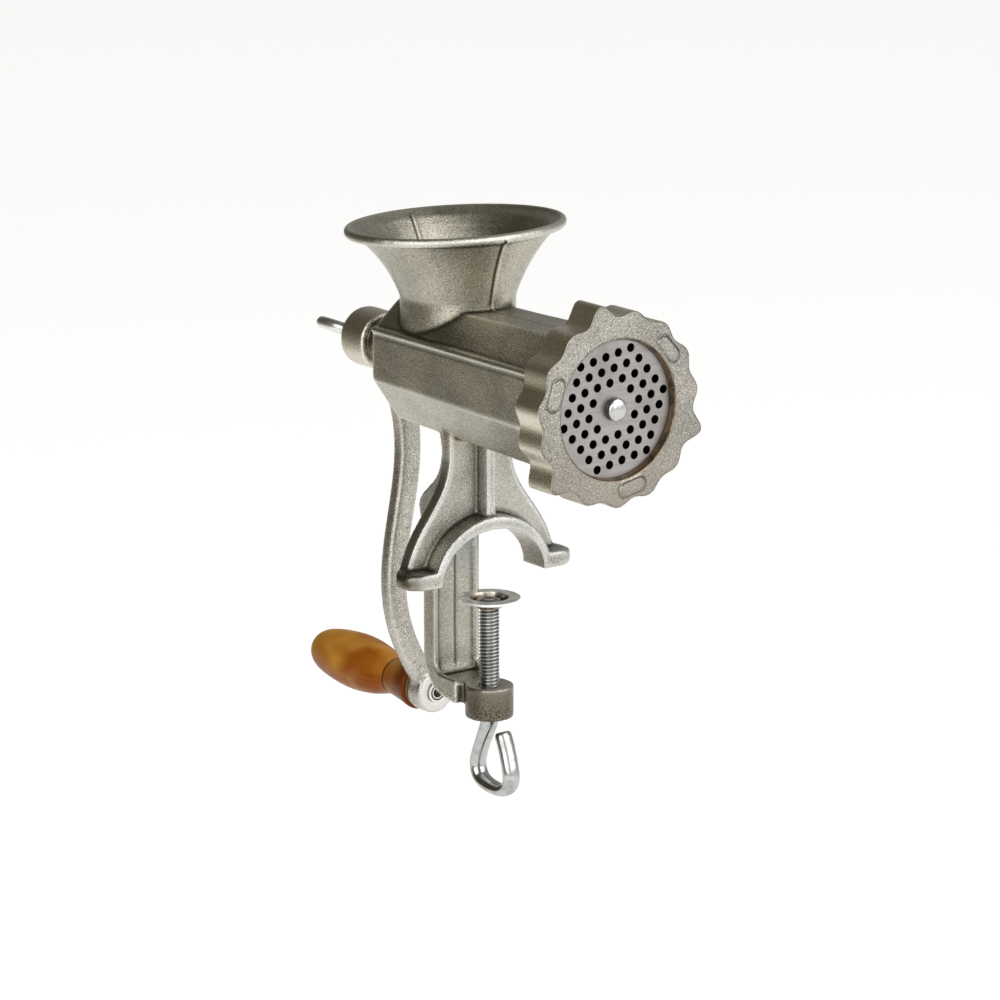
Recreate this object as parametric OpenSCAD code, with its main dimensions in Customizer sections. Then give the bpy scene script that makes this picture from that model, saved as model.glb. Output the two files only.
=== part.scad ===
// Manual meat grinder with an oval hopper, a table clamp and an S-shaped crank. Millimetres, +Z up.
// The origin is on the clamp screw's axis, level with the two feet that rest on the table.
// The outlet faces -Y and the crank is at the back, on +Y.

/* [Barrel] */
// Height of the barrel's axis above the table
axis_z = 81; // [76:0.2:100]
// Distance forward from the clamp screw's axis to the ring nut's front face
front_reach = 81.5; // [76:0.5:100]
// Distance back from the clamp screw's axis to the barrel's rear face
rear_reach = 46; // [45:0.2:60]
// Width across the side flats at the rear
barrel_w = 48; // [47:0.5:56]
// Top flat's height above the axis at the rear
barrel_top = 23.4; // [23.2:0.2:28]
// Bottom flat's depth below the axis at the rear
barrel_bottom = 24.4; // [24:0.2:28]
// Upper edge of the side flats above the axis
side_flat_up = 12.2; // [9:0.2:15]
// Lower edge of the side flats below the axis
side_flat_down = 7.8; // [6.5:0.2:10]
// Width of the top flat
top_flat_w = 22; // [18:1:26]
// Width of the bottom flat
bottom_flat_w = 25; // [23:1:28]
// Width across the side flats at the front
barrel_front_w = 52; // [50:0.2:58]
// Thinnest wall beside the bore, at the rear
barrel_wall = 3; // [2.6:0.1:5]
// Thickness of the rear wall
rear_wall = 5.6; // [4:0.2:6]
// Length of the bevel at the rear edge
rear_bevel = 3; // [2:0.5:5]
// Radius of the bearing boss behind the rear wall
boss_r = 10; // [9.4:0.2:11.4]
// Length of the bearing boss
boss_len = 23; // [15:0.2:30]
// Radius of the parting bead along the side flats
bead_r = 1.5; // [0.8:0.1:2]

/* [Hopper] */
// Half width of the rim across the barrel
rim_rx = 46.7; // [42:0.5:55]
// Half length of the rim along the barrel
rim_ry = 34; // [30:0.5:40]
// Height of the rim above the barrel's axis
rim_rise = 55.4; // [50:0.2:70]
// Distance of the rim's centre behind the clamp screw's axis
rim_y = 21.6; // [16:0.2:26]
// Distance of the neck's outside in from the barrel's side flats
neck_inset = 1.6; // [1:0.1:3]
// Height of the neck's top above the barrel's axis
neck_rise = 27; // [24:0.5:32]
// Wall of the hopper
hopper_wall = 3.2; // [2.5:0.1:4]
// Height of the bead round the rim
rim_bead = 4; // [2.5:0.1:6]

/* [Plate and ring nut] */
// Diameter of the grinding plate
plate_d = 62; // [61:0.1:62.6]
// Thickness of the grinding plate
plate_t = 5; // [4:0.2:6]
// Diameter of the plate's holes
hole_d = 3.4; // [2.6:0.1:4.2]
// Distance between hole centres
hole_pitch = 5.85; // [5.4:0.05:5.9]
// Turn of the hole pattern
hole_turn = 11; // [0:1:59]
// Diameter of the plate's centre hole
centre_hole_d = 8.8; // [8:0.1:10]
// Thickness of the ring nut
ring_t = 14.4; // [13:0.2:18]
// Thickness of the ring nut's lip in front of the plate
lip_t = 3.1; // [2.4:0.1:4]
// Radius of the ring nut's opening at the front
opening_r = 26.6; // [26:0.1:28]
// Radius of the ring nut between lobes
ring_valley_r = 35; // [34.8:0.1:38]
// Height of the small lobes
lobe_h = 2.2; // [1.2:0.1:3]
// Height of the ears above the small lobes
ear_h = 3.8; // [2:0.1:6]
// Number of lobes, ears included
lobes = 15; // [12:3:18]
// Angle of the first ear
ear_angle = 102; // [0:1:119]
// Radius of the threaded nose inside the ring nut
nose_r = 33; // [32.8:0.1:33.6]
// Diameter of the key pin that stops the plate turning
key_d = 3; // [2:0.1:3.4]

/* [Auger and knife] */
// Gap between the auger's flight and the bore
flight_gap = 0.4; // [0.3:0.1:2]
// Radius of the auger's core at the front
core_r = 10.5; // [9:0.2:13]
// Lead of the flight
flight_lead = 27; // [22:1:34]
// Thickness of the flight at its root
flight_t = 5; // [3.5:0.2:7]
// Radius of the auger's rear journal
journal_r = 7.6; // [7:0.1:8.4]
// Width across the square that carries the crank
square_w = 10; // [9:0.1:10.6]
// Width across the square that carries the knife
knife_square_w = 9; // [8.5:0.1:10]
// Height of the stud's straight part in front of the plate
stud_proud = 2.2; // [0.4:0.1:2.4]
// Thickness of the knife's blades
knife_t = 4; // [3:0.2:5]
// Radius swept by the knife
knife_r = 24; // [22:0.1:24.6]
// Thickness of the thrust washer
washer_t = 1.5; // [1:0.1:2.5]

/* [Crank] */
// Distance from the barrel's axis to the grip's axis
crank_len = 150.2; // [120:0.2:180]
// Turn of the crank from straight down
crank_angle = 9.2; // [-20:0.2:20]
// Sideways swing of the arm's S
crank_swing = 8.8; // [0:0.1:14]
// Sideways bow of the arm
crank_bow = 2.6; // [0:0.1:8]
// Width of the arm
arm_w = 10.4; // [8:0.2:14]
// Thickness of the arm
arm_t = 7.6; // [6:0.2:9]
// Radius of the crank's hub
hub_r = 11.9; // [11:0.1:14]
// Length of the crank's hub
hub_len = 15.3; // [13:0.1:20]
// Radius of the boss at the grip
grip_boss_r = 9; // [8:0.1:11]
// Length of the boss at the grip
grip_boss_len = 9.6; // [8:0.1:12]
// Length of the grip
grip_len = 71.4; // [64:0.2:90]
// Greatest diameter of the grip
grip_d = 23.4; // [20:0.2:30]
// Diameter of the grip's waist
grip_waist_d = 15; // [13:0.2:18]
// Diameter of the grip's collar
grip_collar_d = 19.4; // [16:0.2:22]
// Diameter of the tubular rivet that carries the grip
rivet_d = 6.4; // [5:0.1:8]

/* [Clamp] */
// Distance between the toes of the feet
feet_w = 80; // [76:0.2:96]
// Width of the arch at the table
arch_w = 48; // [44:0.2:52]
// Height of the arch
arch_h = 19.3; // [16:0.1:24]
// Thickness of the flange over the arch
flange_t = 5.3; // [4:0.1:7]
// Thickness of the flange beside the arch
flange_side_t = 3.6; // [3:0.1:5]
// Distance of the flange's front face in front of the clamp screw's axis
flange_front = 3.8; // [2:0.2:6]
// Height of the feet
foot_h = 6.4; // [5:0.2:10]
// Distance of the web's front face behind the clamp screw's axis
web_front = 5; // [3.5:0.1:7]
// Thickness of the web
web_t = 6; // [4:0.2:7]
// Width of the neck under the barrel
stand_neck_w = 29.6; // [26:0.2:36]
// Width of the rib on the web
rib_w = 4.6; // [3:0.2:6]
// Distance of the rib's face in front of the clamp screw's axis
rib_front = 1.8; // [0:0.2:3]
// Width of the spine
spine_w = 22; // [20:0.2:28]
// Thickness of the spine
spine_t = 6.6; // [5:0.2:9]
// Thickness of the spine where it joins the web
spine_neck_t = 7; // [5:0.2:10]
// Height at which the spine swings back
spine_bend_z = 37.6; // [34:0.2:44]
// Distance of the spine's front face behind the clamp screw's axis
throat_depth = 22.6; // [19:0.1:26]
// Width of the raised rims along the spine
spine_rim_w = 2.2; // [1.5:0.1:3.5]
// Height of the raised rims along the spine
spine_rim_h = 1.1; // [0.6:0.1:2]
// Depth of the screw boss's top below the table
boss_top = 42.9; // [38:0.1:60]
// Height of the screw boss
screw_boss_h = 13.2; // [12:0.1:20]
// Radius of the screw boss
screw_boss_r = 9.5; // [9:0.1:14]

/* [Clamp screw] */
// Thread diameter of the clamp screw and the crank screw
screw_d = 7.94; // [7.5:0.02:8.4]
// Thread pitch
screw_pitch = 1.411; // [1.25:0.001:1.5]
// Depth of the pad's rim below the table
pad_gap = 8.1; // [5.2:0.1:12]
// Radius of the pad
pad_r = 12.1; // [11:0.1:14]
// Radius of the pad's recess
pad_recess_r = 7.6; // [6.5:0.1:8.5]
// Depth of the pad's recess
pad_recess = 1.8; // [1.2:0.1:2]
// Height of the pad
pad_h = 3.9; // [3.4:0.1:6]
// Length of the clamp screw's finger loop below the boss
clamp_loop = 30.9; // [27:0.1:40]
// Length of the crank screw's finger loop behind the hub
crank_loop = 26.6; // [25:0.2:40]
// Outside width of the finger loops
loop_w = 26.4; // [22:0.2:30]
// Offset of the loops from the rod, towards the free end
loop_shift = 3.5; // [0:0.1:5]
// Width of the flattened strip of the clamp screw's loop
strip_w = 8; // [6:0.1:9]
// Width of the flattened strip of the crank screw's loop
crank_strip_w = 6.6; // [5:0.1:9]
// Thickness of the flattened strip of the loops
strip_t = 4.4; // [3.4:0.1:5]
// Turn of the crank screw's loop from upright
crank_loop_turn = -68; // [-90:1:90]

/* [Fits] */
// Radial clearance of turning fits
running = 0.05; // [0.02:0.01:0.1]
// Gap between faces that pass each other
face_gap = 0.3; // [0.2:0.05:0.6]

/* [Hidden] */
round_fn = 64;
// Overshoot of cuts and overlap of joined shapes
cut = 1;

// Sizes tied to the barrel's width
barrel_taper = barrel_front_w / barrel_w;
bore_r = barrel_w / 2 - barrel_wall;
flight_r = bore_r - flight_gap;
neck_r = barrel_w / 2 - neck_inset;

// Places along the barrel, from the outlet to the crank
plate_y = -front_reach + lip_t;
seat_y = plate_y + plate_t;
thread_relief = 1;
nose_front_y = plate_y + thread_relief;
ring_back_y = -front_reach + ring_t;
nose_back_y = ring_back_y - thread_relief;
auger_front_y = seat_y + knife_t + 2 * face_gap;
stud_tail_y = auger_front_y + knife_square_w;
bore_back_y = rear_reach - rear_wall;
washer_y = bore_back_y - washer_t;
boss_back_y = rear_reach + boss_len;
hub_y = boss_back_y + face_gap;
hub_back_y = hub_y + hub_len;
hub_wall = 4;
square_end_y = hub_back_y - hub_wall;
arm_y = hub_y + grip_boss_len / 2;
grip_washer_t = 1;
rivet_sink = 2.4;
grip_y = hub_y + grip_boss_len + grip_washer_t + face_gap;
bearing_r = journal_r + running;
seat_r = plate_d / 2 + 2 * running;
key_r = plate_d / 2 - key_d / 2;
feed_r = neck_r - hopper_wall;
neck_shift = 1.2;
neck_y = rim_y - neck_shift;

// Places on the clamp
pad_top = -pad_gap;
pad_bottom = pad_top - pad_h;
boss_bottom = -boss_top - screw_boss_h;
web_back = web_front + web_t;
spine_back = throat_depth + spine_t;
screw_r = screw_d / 2;
swivel_r = pad_recess_r * 0.4;

// Closed skin over rings of points, each ring counter-clockwise about the way the skin runs
module skin(rings, closed = false) {
    m = len(rings[0]);
    n = len(rings);
    last = closed ? n - 1 : n - 2;
    sides = [for (i = [0:last], j = [0:m - 1])
        let (a = i * m, b = ((i + 1) % n) * m, k = (j + 1) % m)
        each [[a + j, b + j, b + k], [a + j, b + k, a + k]]];
    caps = closed ? [] : [[for (j = [0:m - 1]) j], [for (j = [m - 1:-1:0]) (n - 1) * m + j]];
    polyhedron(points = [for (r = rings) each r], faces = concat(sides, caps), convexity = 8);
}

// Smooth curve through hand-placed points, with a number of steps between each pair
function curve(pts, steps) = [for (i = [0:len(pts) - 2], s = [0:steps - 1]) spline(pts, i, s / steps),
                              pts[len(pts) - 1]];
function spline(p, i, t) =
    let (a = p[max(i - 1, 0)], b = p[i], c = p[i + 1], d = p[min(i + 2, len(p) - 1)])
    0.5 * (2 * b + (c - a) * t + (2 * a - 5 * b + 4 * c - d) * t * t + (3 * b - a - 3 * c + d) * t * t * t);
function tangent(p, i) =
    let (v = p[min(i + 1, len(p) - 1)] - p[max(i - 1, 0)]) v / norm(v);

// Rounded oblong section of n points
function oblong(w, t, n, power) = [for (j = [0:n - 1]) let (a = 360 * j / n)
    [w / 2 * sign(cos(a)) * pow(abs(cos(a)), power), t / 2 * sign(sin(a)) * pow(abs(sin(a)), power)]];

// Bar swept along a flat path; side is the direction square to the path's plane
module bar(path, sections, side) {
    skin([for (i = [0:len(path) - 1])
        let (u = cross(side, tangent(path, i)))
        [for (q = sections[i]) path[i] + q[0] * u + q[1] * side]]);
}

// Cylinder along +Y between two places
module along_y(y0, y1, r) {
    translate([0, y0, 0]) rotate([-90, 0, 0]) cylinder(h = y1 - y0, r = r, $fn = round_fn);
}

// Square bar along +Y between two places
module square_y(y0, y1, w) {
    translate([-w / 2, y0, -w / 2]) cube([w, y1 - y0, w]);
}

// Eight-sided section of the barrel, scaled about the axis
function barrel_section(y, k) = [for (p = [
    [top_flat_w / 2, barrel_top], [barrel_w / 2, side_flat_up],
    [barrel_w / 2, -side_flat_down], [bottom_flat_w / 2, -barrel_bottom],
    [-bottom_flat_w / 2, -barrel_bottom], [-barrel_w / 2, -side_flat_down],
    [-barrel_w / 2, side_flat_up], [-top_flat_w / 2, barrel_top]]) [p[0] * k, y, p[1] * k + axis_z]];

module barrel_outside() {
    rear_k = 1 - rear_bevel / barrel_w;
    skin([barrel_section(nose_back_y - cut, barrel_taper), barrel_section(rear_reach - rear_bevel, 1),
          barrel_section(rear_reach, rear_k)]);
}

module parting_bead(side) {
    x0 = barrel_w / 2 * barrel_taper;
    z0 = axis_z + side_flat_up * barrel_taper;
    front = [side * x0, ring_back_y + cut, z0];
    rear = [side * barrel_w / 2, rear_reach - rear_bevel, axis_z + side_flat_up];
    ring = [for (a = [0:45:315]) bead_r * [sin(a), 0, cos(a)]];
    skin([[for (p = ring) front + p], [for (p = ring) rear + p]]);
}

// Barrel with the plate's seat at the front and the auger's bearing at the back
module barrel() {
    color("#a9a499") difference() {
        union() {
            barrel_outside();
            for (side = [-1, 1]) parting_bead(side);
            translate([0, 0, axis_z]) {
                along_y(nose_front_y, nose_back_y, nose_r);
                along_y(rear_reach - rear_bevel, boss_back_y, boss_r);
            }
        }
        translate([0, 0, axis_z]) {
            along_y(nose_front_y - cut, seat_y, seat_r);
            along_y(seat_y - cut, auger_front_y, knife_r + 2 * face_gap);
            along_y(auger_front_y - cut, bore_back_y, bore_r);
            along_y(bore_back_y - cut, boss_back_y + cut, bearing_r);
            translate([0, 0, -key_r]) along_y(seat_y - cut, seat_y + key_d, key_d / 2);
            translate([0, neck_y, 0]) cylinder(h = barrel_top * 2, r = feed_r, $fn = round_fn);
        }
    }
}

// Rings of the hopper; t runs from 0 at the neck to 1 at the rim
hopper_n = 48;
straight_share = 0.56;
flare_power = 2.6;
function flare(t) = straight_share * t + (1 - straight_share) * pow(t, flare_power);
function hopper_ring(t, inset, drop) = let (f = flare(t), n = hopper_n,
    z = axis_z + neck_rise + t * (rim_rise - neck_rise) - drop,
    rx = neck_r + (rim_rx - neck_r) * f - inset, ry = neck_r + (rim_ry - neck_r) * f - inset)
    [for (j = [0:n - 1]) [rx * cos(360 * j / n), neck_y + (rim_y - neck_y) * f + ry * sin(360 * j / n), z]];
function neck_ring(r, z) = [for (j = [0:hopper_n - 1]) let (a = 360 * j / hopper_n)
    [r * cos(a), neck_y + r * sin(a), z]];

module hopper() {
    steps = 9;
    lip = hopper_wall * 0.35;
    outer = concat([for (i = [0:steps - 1]) hopper_ring(i / steps, 0, 0)],
                   [hopper_ring(1, lip, rim_bead), hopper_ring(1, 0, rim_bead - lip),
                    hopper_ring(1, 0, lip)]);
    inner = [for (i = [steps:-1:0]) hopper_ring(i / steps, hopper_wall, i == steps ? lip : 0)];
    crown = [hopper_ring(1, lip, 0), hopper_ring(1, hopper_wall - lip, 0)];
    foot_z = axis_z + side_flat_up - bead_r;
    color("#a9a499") difference() {
        skin(concat([neck_ring(neck_r, foot_z)], outer, crown, inner, [neck_ring(feed_r, foot_z)]), true);
        barrel_outside();
        for (side = [-1, 1]) parting_bead(side);
    }
}

// Half outline of the stand's web: neck edge, flare through shares of its width and height, and foot
flare_top = 10;
flare_end = 4.6;
function flare_edge() = let (x0 = stand_neck_w / 2, z0 = axis_z - barrel_bottom - flare_top,
    w = feet_w / 2 - flare_end - x0, h = z0 - foot_h + cut,
    shares = [[0, 0], [0.07, 0.17], [0.25, 0.35], [0.68, 0.65], [0.9, 0.86], [1, 1]])
    concat([[x0, axis_z]], curve([for (q = shares) [x0 + w * q[0], z0 - h * q[1]]], 4), [[x0 + w, 0]]);

module mirrored() {
    children();
    mirror([1, 0, 0]) children();
}

// Front outline pushed back along +Y
module plate_xz(y0, y1) {
    translate([0, y1, 0]) rotate([90, 0, 0]) linear_extrude(y1 - y0) children();
}

module arch(beside, above) {
    n = 24;
    half = arch_w / 2 + beside;
    polygon(concat([for (i = [0:n]) [half * cos(180 * i / n), (arch_h + above) * sin(180 * i / n)]],
                   [[-half, -cut], [half, -cut]]));
}

module foot_outline() {
    toe_r = foot_h / 2;
    translate([arch_w / 2, 0]) square([feet_w / 2 - toe_r - arch_w / 2, foot_h]);
    translate([feet_w / 2 - toe_r, toe_r]) circle(r = toe_r, $fn = round_fn);
    translate([arch_w / 2, 0]) square([feet_w / 2 - toe_r / 2 - arch_w / 2, toe_r / 2]);
}

// Plan of the arch and feet, with round toes
module feet_plan() {
    depth = web_back + flange_front;
    linear_extrude(axis_z) translate([0, web_back - depth / 2]) {
        square([feet_w - depth, depth], center = true);
        for (s = [-1, 1]) translate([s * (feet_w - depth) / 2, 0]) circle(d = depth, $fn = round_fn);
    }
}

module clamp_stand() {
    color("#a9a499") difference() {
        union() {
            plate_xz(web_front, web_back) difference() {
                mirrored() polygon(concat([[0, 0], [0, axis_z]], flare_edge()));
                arch(0, 0);
            }
            intersection() {
                plate_xz(-flange_front, web_back) difference() {
                    union() {
                        arch(flange_side_t, flange_t);
                        mirrored() foot_outline();
                    }
                    arch(0, 0);
                }
                feet_plan();
            }
            translate([-rib_w / 2, -rib_front, arch_h + cut])
                cube([rib_w, web_front + rib_front + cut, axis_z - arch_h - cut]);
        }
        barrel_outside();
    }
}

// Side outline of the spine and the lower arm, through points at shares of the bend's height and the corner
swing_h = 32;
swing_out = 2;
spine_corner = 4;
module spine_outline() {
    neck_back = web_back + spine_neck_t;
    z = spine_bend_z;
    low_t = spine_t + swing_out;
    low_y = screw_boss_r - 2 * cut;
    floor_z = -boss_top;
    rear = curve([[neck_back, axis_z], [neck_back, z + 0.62 * swing_h],
                  [neck_back - 0.7 * swing_out, z + 0.31 * swing_h], [neck_back + swing_out, z],
                  [spine_back + swing_out, z - 0.34 * swing_h],
                  [spine_back + 0.8 * swing_out, z - 0.62 * swing_h], [spine_back, z - swing_h],
                  [spine_back, floor_z + 3 * spine_corner],
                  [spine_back - 0.35 * spine_corner, floor_z + 0.5 * spine_corner],
                  [spine_back - 2 * spine_corner, floor_z - 0.7 * low_t], [low_y, floor_z - low_t]], 4);
    front = curve([[low_y, floor_z], [throat_depth - spine_corner, floor_z],
                   [throat_depth, floor_z + spine_corner], [throat_depth, z - 0.94 * swing_h],
                   [throat_depth, z - 0.62 * swing_h], [web_back, z - 0.12 * swing_h]], 3);
    polygon(concat(rear, front, [[web_back, axis_z]]));
}

module side_plate(x0, x1) {
    translate([x0, 0, 0]) rotate([90, 0, 90]) linear_extrude(x1 - x0) children();
}

module spine_rim(x0) {
    top = spine_bend_z - 0.62 * swing_h;
    low_y = screw_boss_r - cut;
    face_y = throat_depth - spine_rim_h;
    face_z = -boss_top + spine_rim_h;
    side_plate(x0, x0 + spine_rim_w)
        polygon([[low_y, face_z], [throat_depth - spine_corner, face_z], [face_y, -boss_top + spine_corner],
                 [face_y, top], [throat_depth + cut, top], [throat_depth + cut, -boss_top - cut],
                 [low_y, -boss_top - cut]]);
}

module clamp_arm() {
    color("#a39e93") difference() {
        union() {
            side_plate(-spine_w / 2, spine_w / 2) spine_outline();
            spine_rim(-spine_w / 2);
            spine_rim(spine_w / 2 - spine_rim_w);
            translate([0, 0, boss_bottom]) cylinder(h = screw_boss_h, r = screw_boss_r, $fn = round_fn);
        }
        barrel_outside();
        translate([0, 0, boss_bottom - cut])
            cylinder(h = screw_boss_h + 2 * cut, r = screw_r + running, $fn = round_fn);
    }
}

module plate_key_pin() {
    color("#b9b9b6") translate([0, 0, axis_z - key_r])
        along_y(nose_front_y, seat_y + key_d, key_d / 2);
}

// Radius of the ring nut's outline: even lobes, with three of them raised to ears
ear_spread = 7;
function ring_radius(a) = let (from_ear = abs(((a - ear_angle) % 120 + 180) % 120 - 60))
    ring_valley_r + lobe_h * (1 + cos(lobes * (a - ear_angle))) / 2
    + ear_h * exp(-pow(from_ear / ear_spread, 2));

module ring_nut() {
    opening_taper = 0.9;
    bump_r = (opening_r + ring_valley_r) / 2 - 0.4;
    bump_w = 5;
    bump_len = 11.6;
    bump_h = 1;
    color("#b5b1a8") translate([0, 0, axis_z]) {
        difference() {
            plate_xz(-front_reach, ring_back_y)
                polygon([for (a = [0:2:358]) ring_radius(a) * [cos(a), sin(a)]]);
            along_y(plate_y - running, ring_back_y + cut, nose_r + running);
            translate([0, -front_reach, 0]) rotate([-90, 0, 0])
                cylinder(h = lip_t, r1 = opening_r, r2 = opening_r - opening_taper, $fn = round_fn);
        }
        for (k = [0:2]) plate_xz(-front_reach - bump_h, -front_reach)
            rotate(ear_angle + 60 + 120 * k) translate([bump_r, 0]) {
                square([bump_w, bump_len - bump_w], center = true);
                for (s = [-1, 1]) translate([0, s * (bump_len - bump_w) / 2])
                    circle(d = bump_w, $fn = round_fn);
            }
    }
}

// Holes on a triangular grid, from the second ring of the grid to the fourth
module plate_holes() {
    for (i = [-4:4], j = [-4:4]) {
        ring = max(abs(i), abs(j), abs(i + j));
        if (ring >= 2 && ring <= 4)
            rotate(hole_turn) translate(hole_pitch * [i + j / 2, j * sin(60)])
                circle(d = hole_d, $fn = round_fn);
    }
}

module grinding_plate() {
    slot_r = key_d / 2 + running;
    color("#9a9a9a") translate([0, 0, axis_z]) plate_xz(plate_y, seat_y) difference() {
        circle(d = plate_d, $fn = round_fn);
        circle(d = centre_hole_d, $fn = round_fn);
        plate_holes();
        translate([-slot_r, -plate_d]) square([2 * slot_r, plate_d - key_r]);
        translate([0, -key_r]) circle(r = slot_r, $fn = round_fn);
    }
}

module knife() {
    front = seat_y + face_gap;
    hub = knife_square_w * 0.95;
    blade_turn = 20;
    half_w = 4;
    sweep = 3;
    tip = 2;
    color("#8f9296") translate([0, 0, axis_z]) difference() {
        union() {
            along_y(front, front + knife_t, hub);
            for (k = [0:3]) plate_xz(front, front + knife_t) rotate(90 * k + blade_turn)
                polygon([[0, -half_w], [knife_r - tip, -half_w - sweep], [knife_r - tip / 2, -half_w],
                         [knife_r - tip, 0], [0, half_w]]);
        }
        square_y(front - cut, front + knife_t + cut, knife_square_w + 2 * running);
    }
}

// Flight of the auger: a tapered thread round the core
module flight() {
    start_y = auger_front_y + flight_t;
    turns = (washer_y - flight_t - start_y) / flight_lead;
    per_turn = 24;
    root_r = core_r - 2 * cut;
    tip_t = flight_t * 0.6;
    profile = [[root_r, -flight_t / 2], [flight_r, -tip_t / 2],
               [flight_r, tip_t / 2], [root_r, flight_t / 2]];
    skin([for (i = [0:floor(turns * per_turn)])
        let (a = -360 * i / per_turn, y = start_y + flight_lead * i / per_turn)
        [for (q = profile) [q[0] * sin(a), y + q[1], axis_z + q[0] * cos(a)]]]);
}

module auger() {
    core_back_r = core_r + 3;
    core_back_y = washer_y - running;
    tap_depth = 8;
    color("#9b968c") {
        flight();
        translate([0, 0, axis_z]) difference() {
            union() {
                translate([0, auger_front_y, 0]) rotate([-90, 0, 0])
                    cylinder(h = core_back_y - auger_front_y, r1 = core_r, r2 = core_back_r,
                             $fn = round_fn);
                along_y(core_back_y - cut, boss_back_y, journal_r);
                rotate([0, -crank_angle, 0]) intersection() {
                    square_y(boss_back_y - cut, square_end_y - face_gap, square_w);
                    along_y(boss_back_y - cut, square_end_y, journal_r);
                }
            }
            along_y(auger_front_y - cut, stud_tail_y + face_gap, knife_square_w / 2 + running);
            along_y(boss_back_y - tap_depth, square_end_y, screw_r + running);
        }
    }
}

// Riveted stud: tail in the auger, square for the knife and a domed pivot in the plate
module auger_stud() {
    pivot_r = centre_hole_d / 2 - 2 * running;
    dome_h = 1.4;
    tip_y = plate_y - stud_proud;
    color("#c9cbcc") translate([0, 0, axis_z]) {
        along_y(auger_front_y, stud_tail_y, knife_square_w / 2);
        square_y(seat_y + face_gap, auger_front_y, knife_square_w);
        along_y(tip_y, seat_y + 2 * face_gap, pivot_r);
        translate([0, tip_y, 0]) rotate([90, 0, 0]) rotate_extrude($fn = round_fn)
            polygon(concat([[0, 0]], [for (a = [0:15:90]) [pivot_r * cos(a), dome_h * sin(a)]]));
    }
}

module thrust_washer() {
    washer_r = core_r + 4;
    color("#c8c2ae") translate([0, 0, axis_z]) difference() {
        along_y(washer_y, bore_back_y, washer_r);
        along_y(washer_y - cut, bore_back_y + cut, bearing_r + running);
    }
}

// Centre line of the crank arm, from the hub to the grip's boss, hanging straight down
function arm_point(t) = [crank_swing * sin(360 * t) - crank_bow * sin(180 * t), arm_y, -crank_len * t];

module on_crank() {
    translate([0, 0, axis_z]) rotate([0, -crank_angle, 0]) children();
}

module crank_arm() {
    steps = 26;
    first = 0.03;
    last = 0.985;
    narrowing = 0.12;
    squareness = 0.55;
    path = [for (i = [0:steps]) arm_point(first + (last - first) * i / steps)];
    sections = [for (i = [0:steps])
        oblong(arm_w * (1 + narrowing * (0.5 - i / steps)), arm_t, 20, squareness)];
    color("#b5b1a6") on_crank() difference() {
        union() {
            bar(path, sections, [0, 1, 0]);
            along_y(hub_y, hub_back_y, hub_r);
            translate([0, 0, -crank_len]) along_y(hub_y, hub_y + grip_boss_len, grip_boss_r);
        }
        intersection() {
            square_y(hub_y - cut, square_end_y, square_w + 2 * running);
            along_y(hub_y - cut, square_end_y, journal_r + running);
        }
        along_y(hub_y, hub_back_y + cut, screw_r + running);
        translate([0, 0, -crank_len]) along_y(hub_y - cut, hub_y + grip_boss_len + cut, rivet_d / 2);
    }
}

// Threaded rod along +Z from z0 to z1
module thread(z0, z1) {
    per_turn = 12;
    per_pitch = 4;
    depth = 0.55 * screw_pitch;
    n = floor((z1 - z0) / screw_pitch * per_pitch);
    skin([for (i = [0:n]) [for (j = [0:per_turn - 1])
        let (p = i / per_pitch - j / per_turn, w = abs(2 * (p - floor(p)) - 1),
             r = screw_r - depth * (1 - w))
        [r * cos(360 * j / per_turn), r * sin(360 * j / per_turn), z0 + i * screw_pitch / per_pitch]]]);
}

// Rod bent to a flattened teardrop loop in the YZ plane, under z = 0, with its free end beside the rod.
// The path runs through shares of the loop's reach to each side.
module finger_loop(length, width) {
    back = (loop_w - strip_t) / 2 - loop_shift;
    ahead = -(loop_w - strip_t) / 2 - loop_shift;
    low = -length + strip_t / 2;
    rise = 7;
    wide = low + rise;
    rod_d = screw_d * 0.94;
    spots = [[0, 2 * cut], [0.04 * back, -0.43 * rise], [0.35 * back, -1.14 * rise],
             [0.85 * back, wide + 0.71 * rise], [back, wide], [0.72 * back, low + 0.31 * rise],
             [0, low + 0.03 * rise], [0.55 * ahead, low],
             [0.9 * ahead, low + 0.34 * rise], [ahead, wide], [0.86 * ahead, wide + 1.14 * rise],
             [0.6 * ahead, -0.64 * rise]];
    path = [for (p = curve(spots, 4)) [0, p[0], p[1]]];
    flatten_steps = 10;
    sections = [for (i = [0:len(path) - 1]) let (f = min(1, i / flatten_steps))
        oblong(rod_d + (strip_t - rod_d) * f, rod_d + (width - rod_d) * f, 12, 1 - 0.35 * f)];
    bar(path, sections, [1, 0, 0]);
}

module clamp_screw() {
    head_r = pad_recess_r * 0.62;
    head_h = 1.1;
    head_z = pad_top - pad_recess + running;
    color("#bfc3c6") {
        thread(boss_bottom - cut, pad_bottom - running);
        translate([0, 0, boss_bottom]) finger_loop(clamp_loop, strip_w);
        translate([0, 0, pad_bottom - cut])
            cylinder(h = head_z - pad_bottom + 2 * cut, r = swivel_r, $fn = round_fn);
        translate([0, 0, head_z]) cylinder(h = head_h, r1 = head_r, r2 = head_r * 0.7, $fn = round_fn);
    }
}

module clamp_pad() {
    neck_r = swivel_r + running;
    floor_z = -pad_recess;
    hub_foot_r = 5;
    edge_h = 0.9;
    color("#c4c5c2") translate([0, 0, pad_top]) rotate_extrude($fn = round_fn)
        polygon([[neck_r, -pad_h], [hub_foot_r, -pad_h], [hub_foot_r + edge_h, -pad_h + edge_h],
                 [pad_r - 2 * edge_h, -1.6 * edge_h], [pad_r, -edge_h], [pad_r, 0], [pad_recess_r, 0],
                 [pad_recess_r - edge_h / 2, floor_z], [neck_r, floor_z]]);
}

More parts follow.
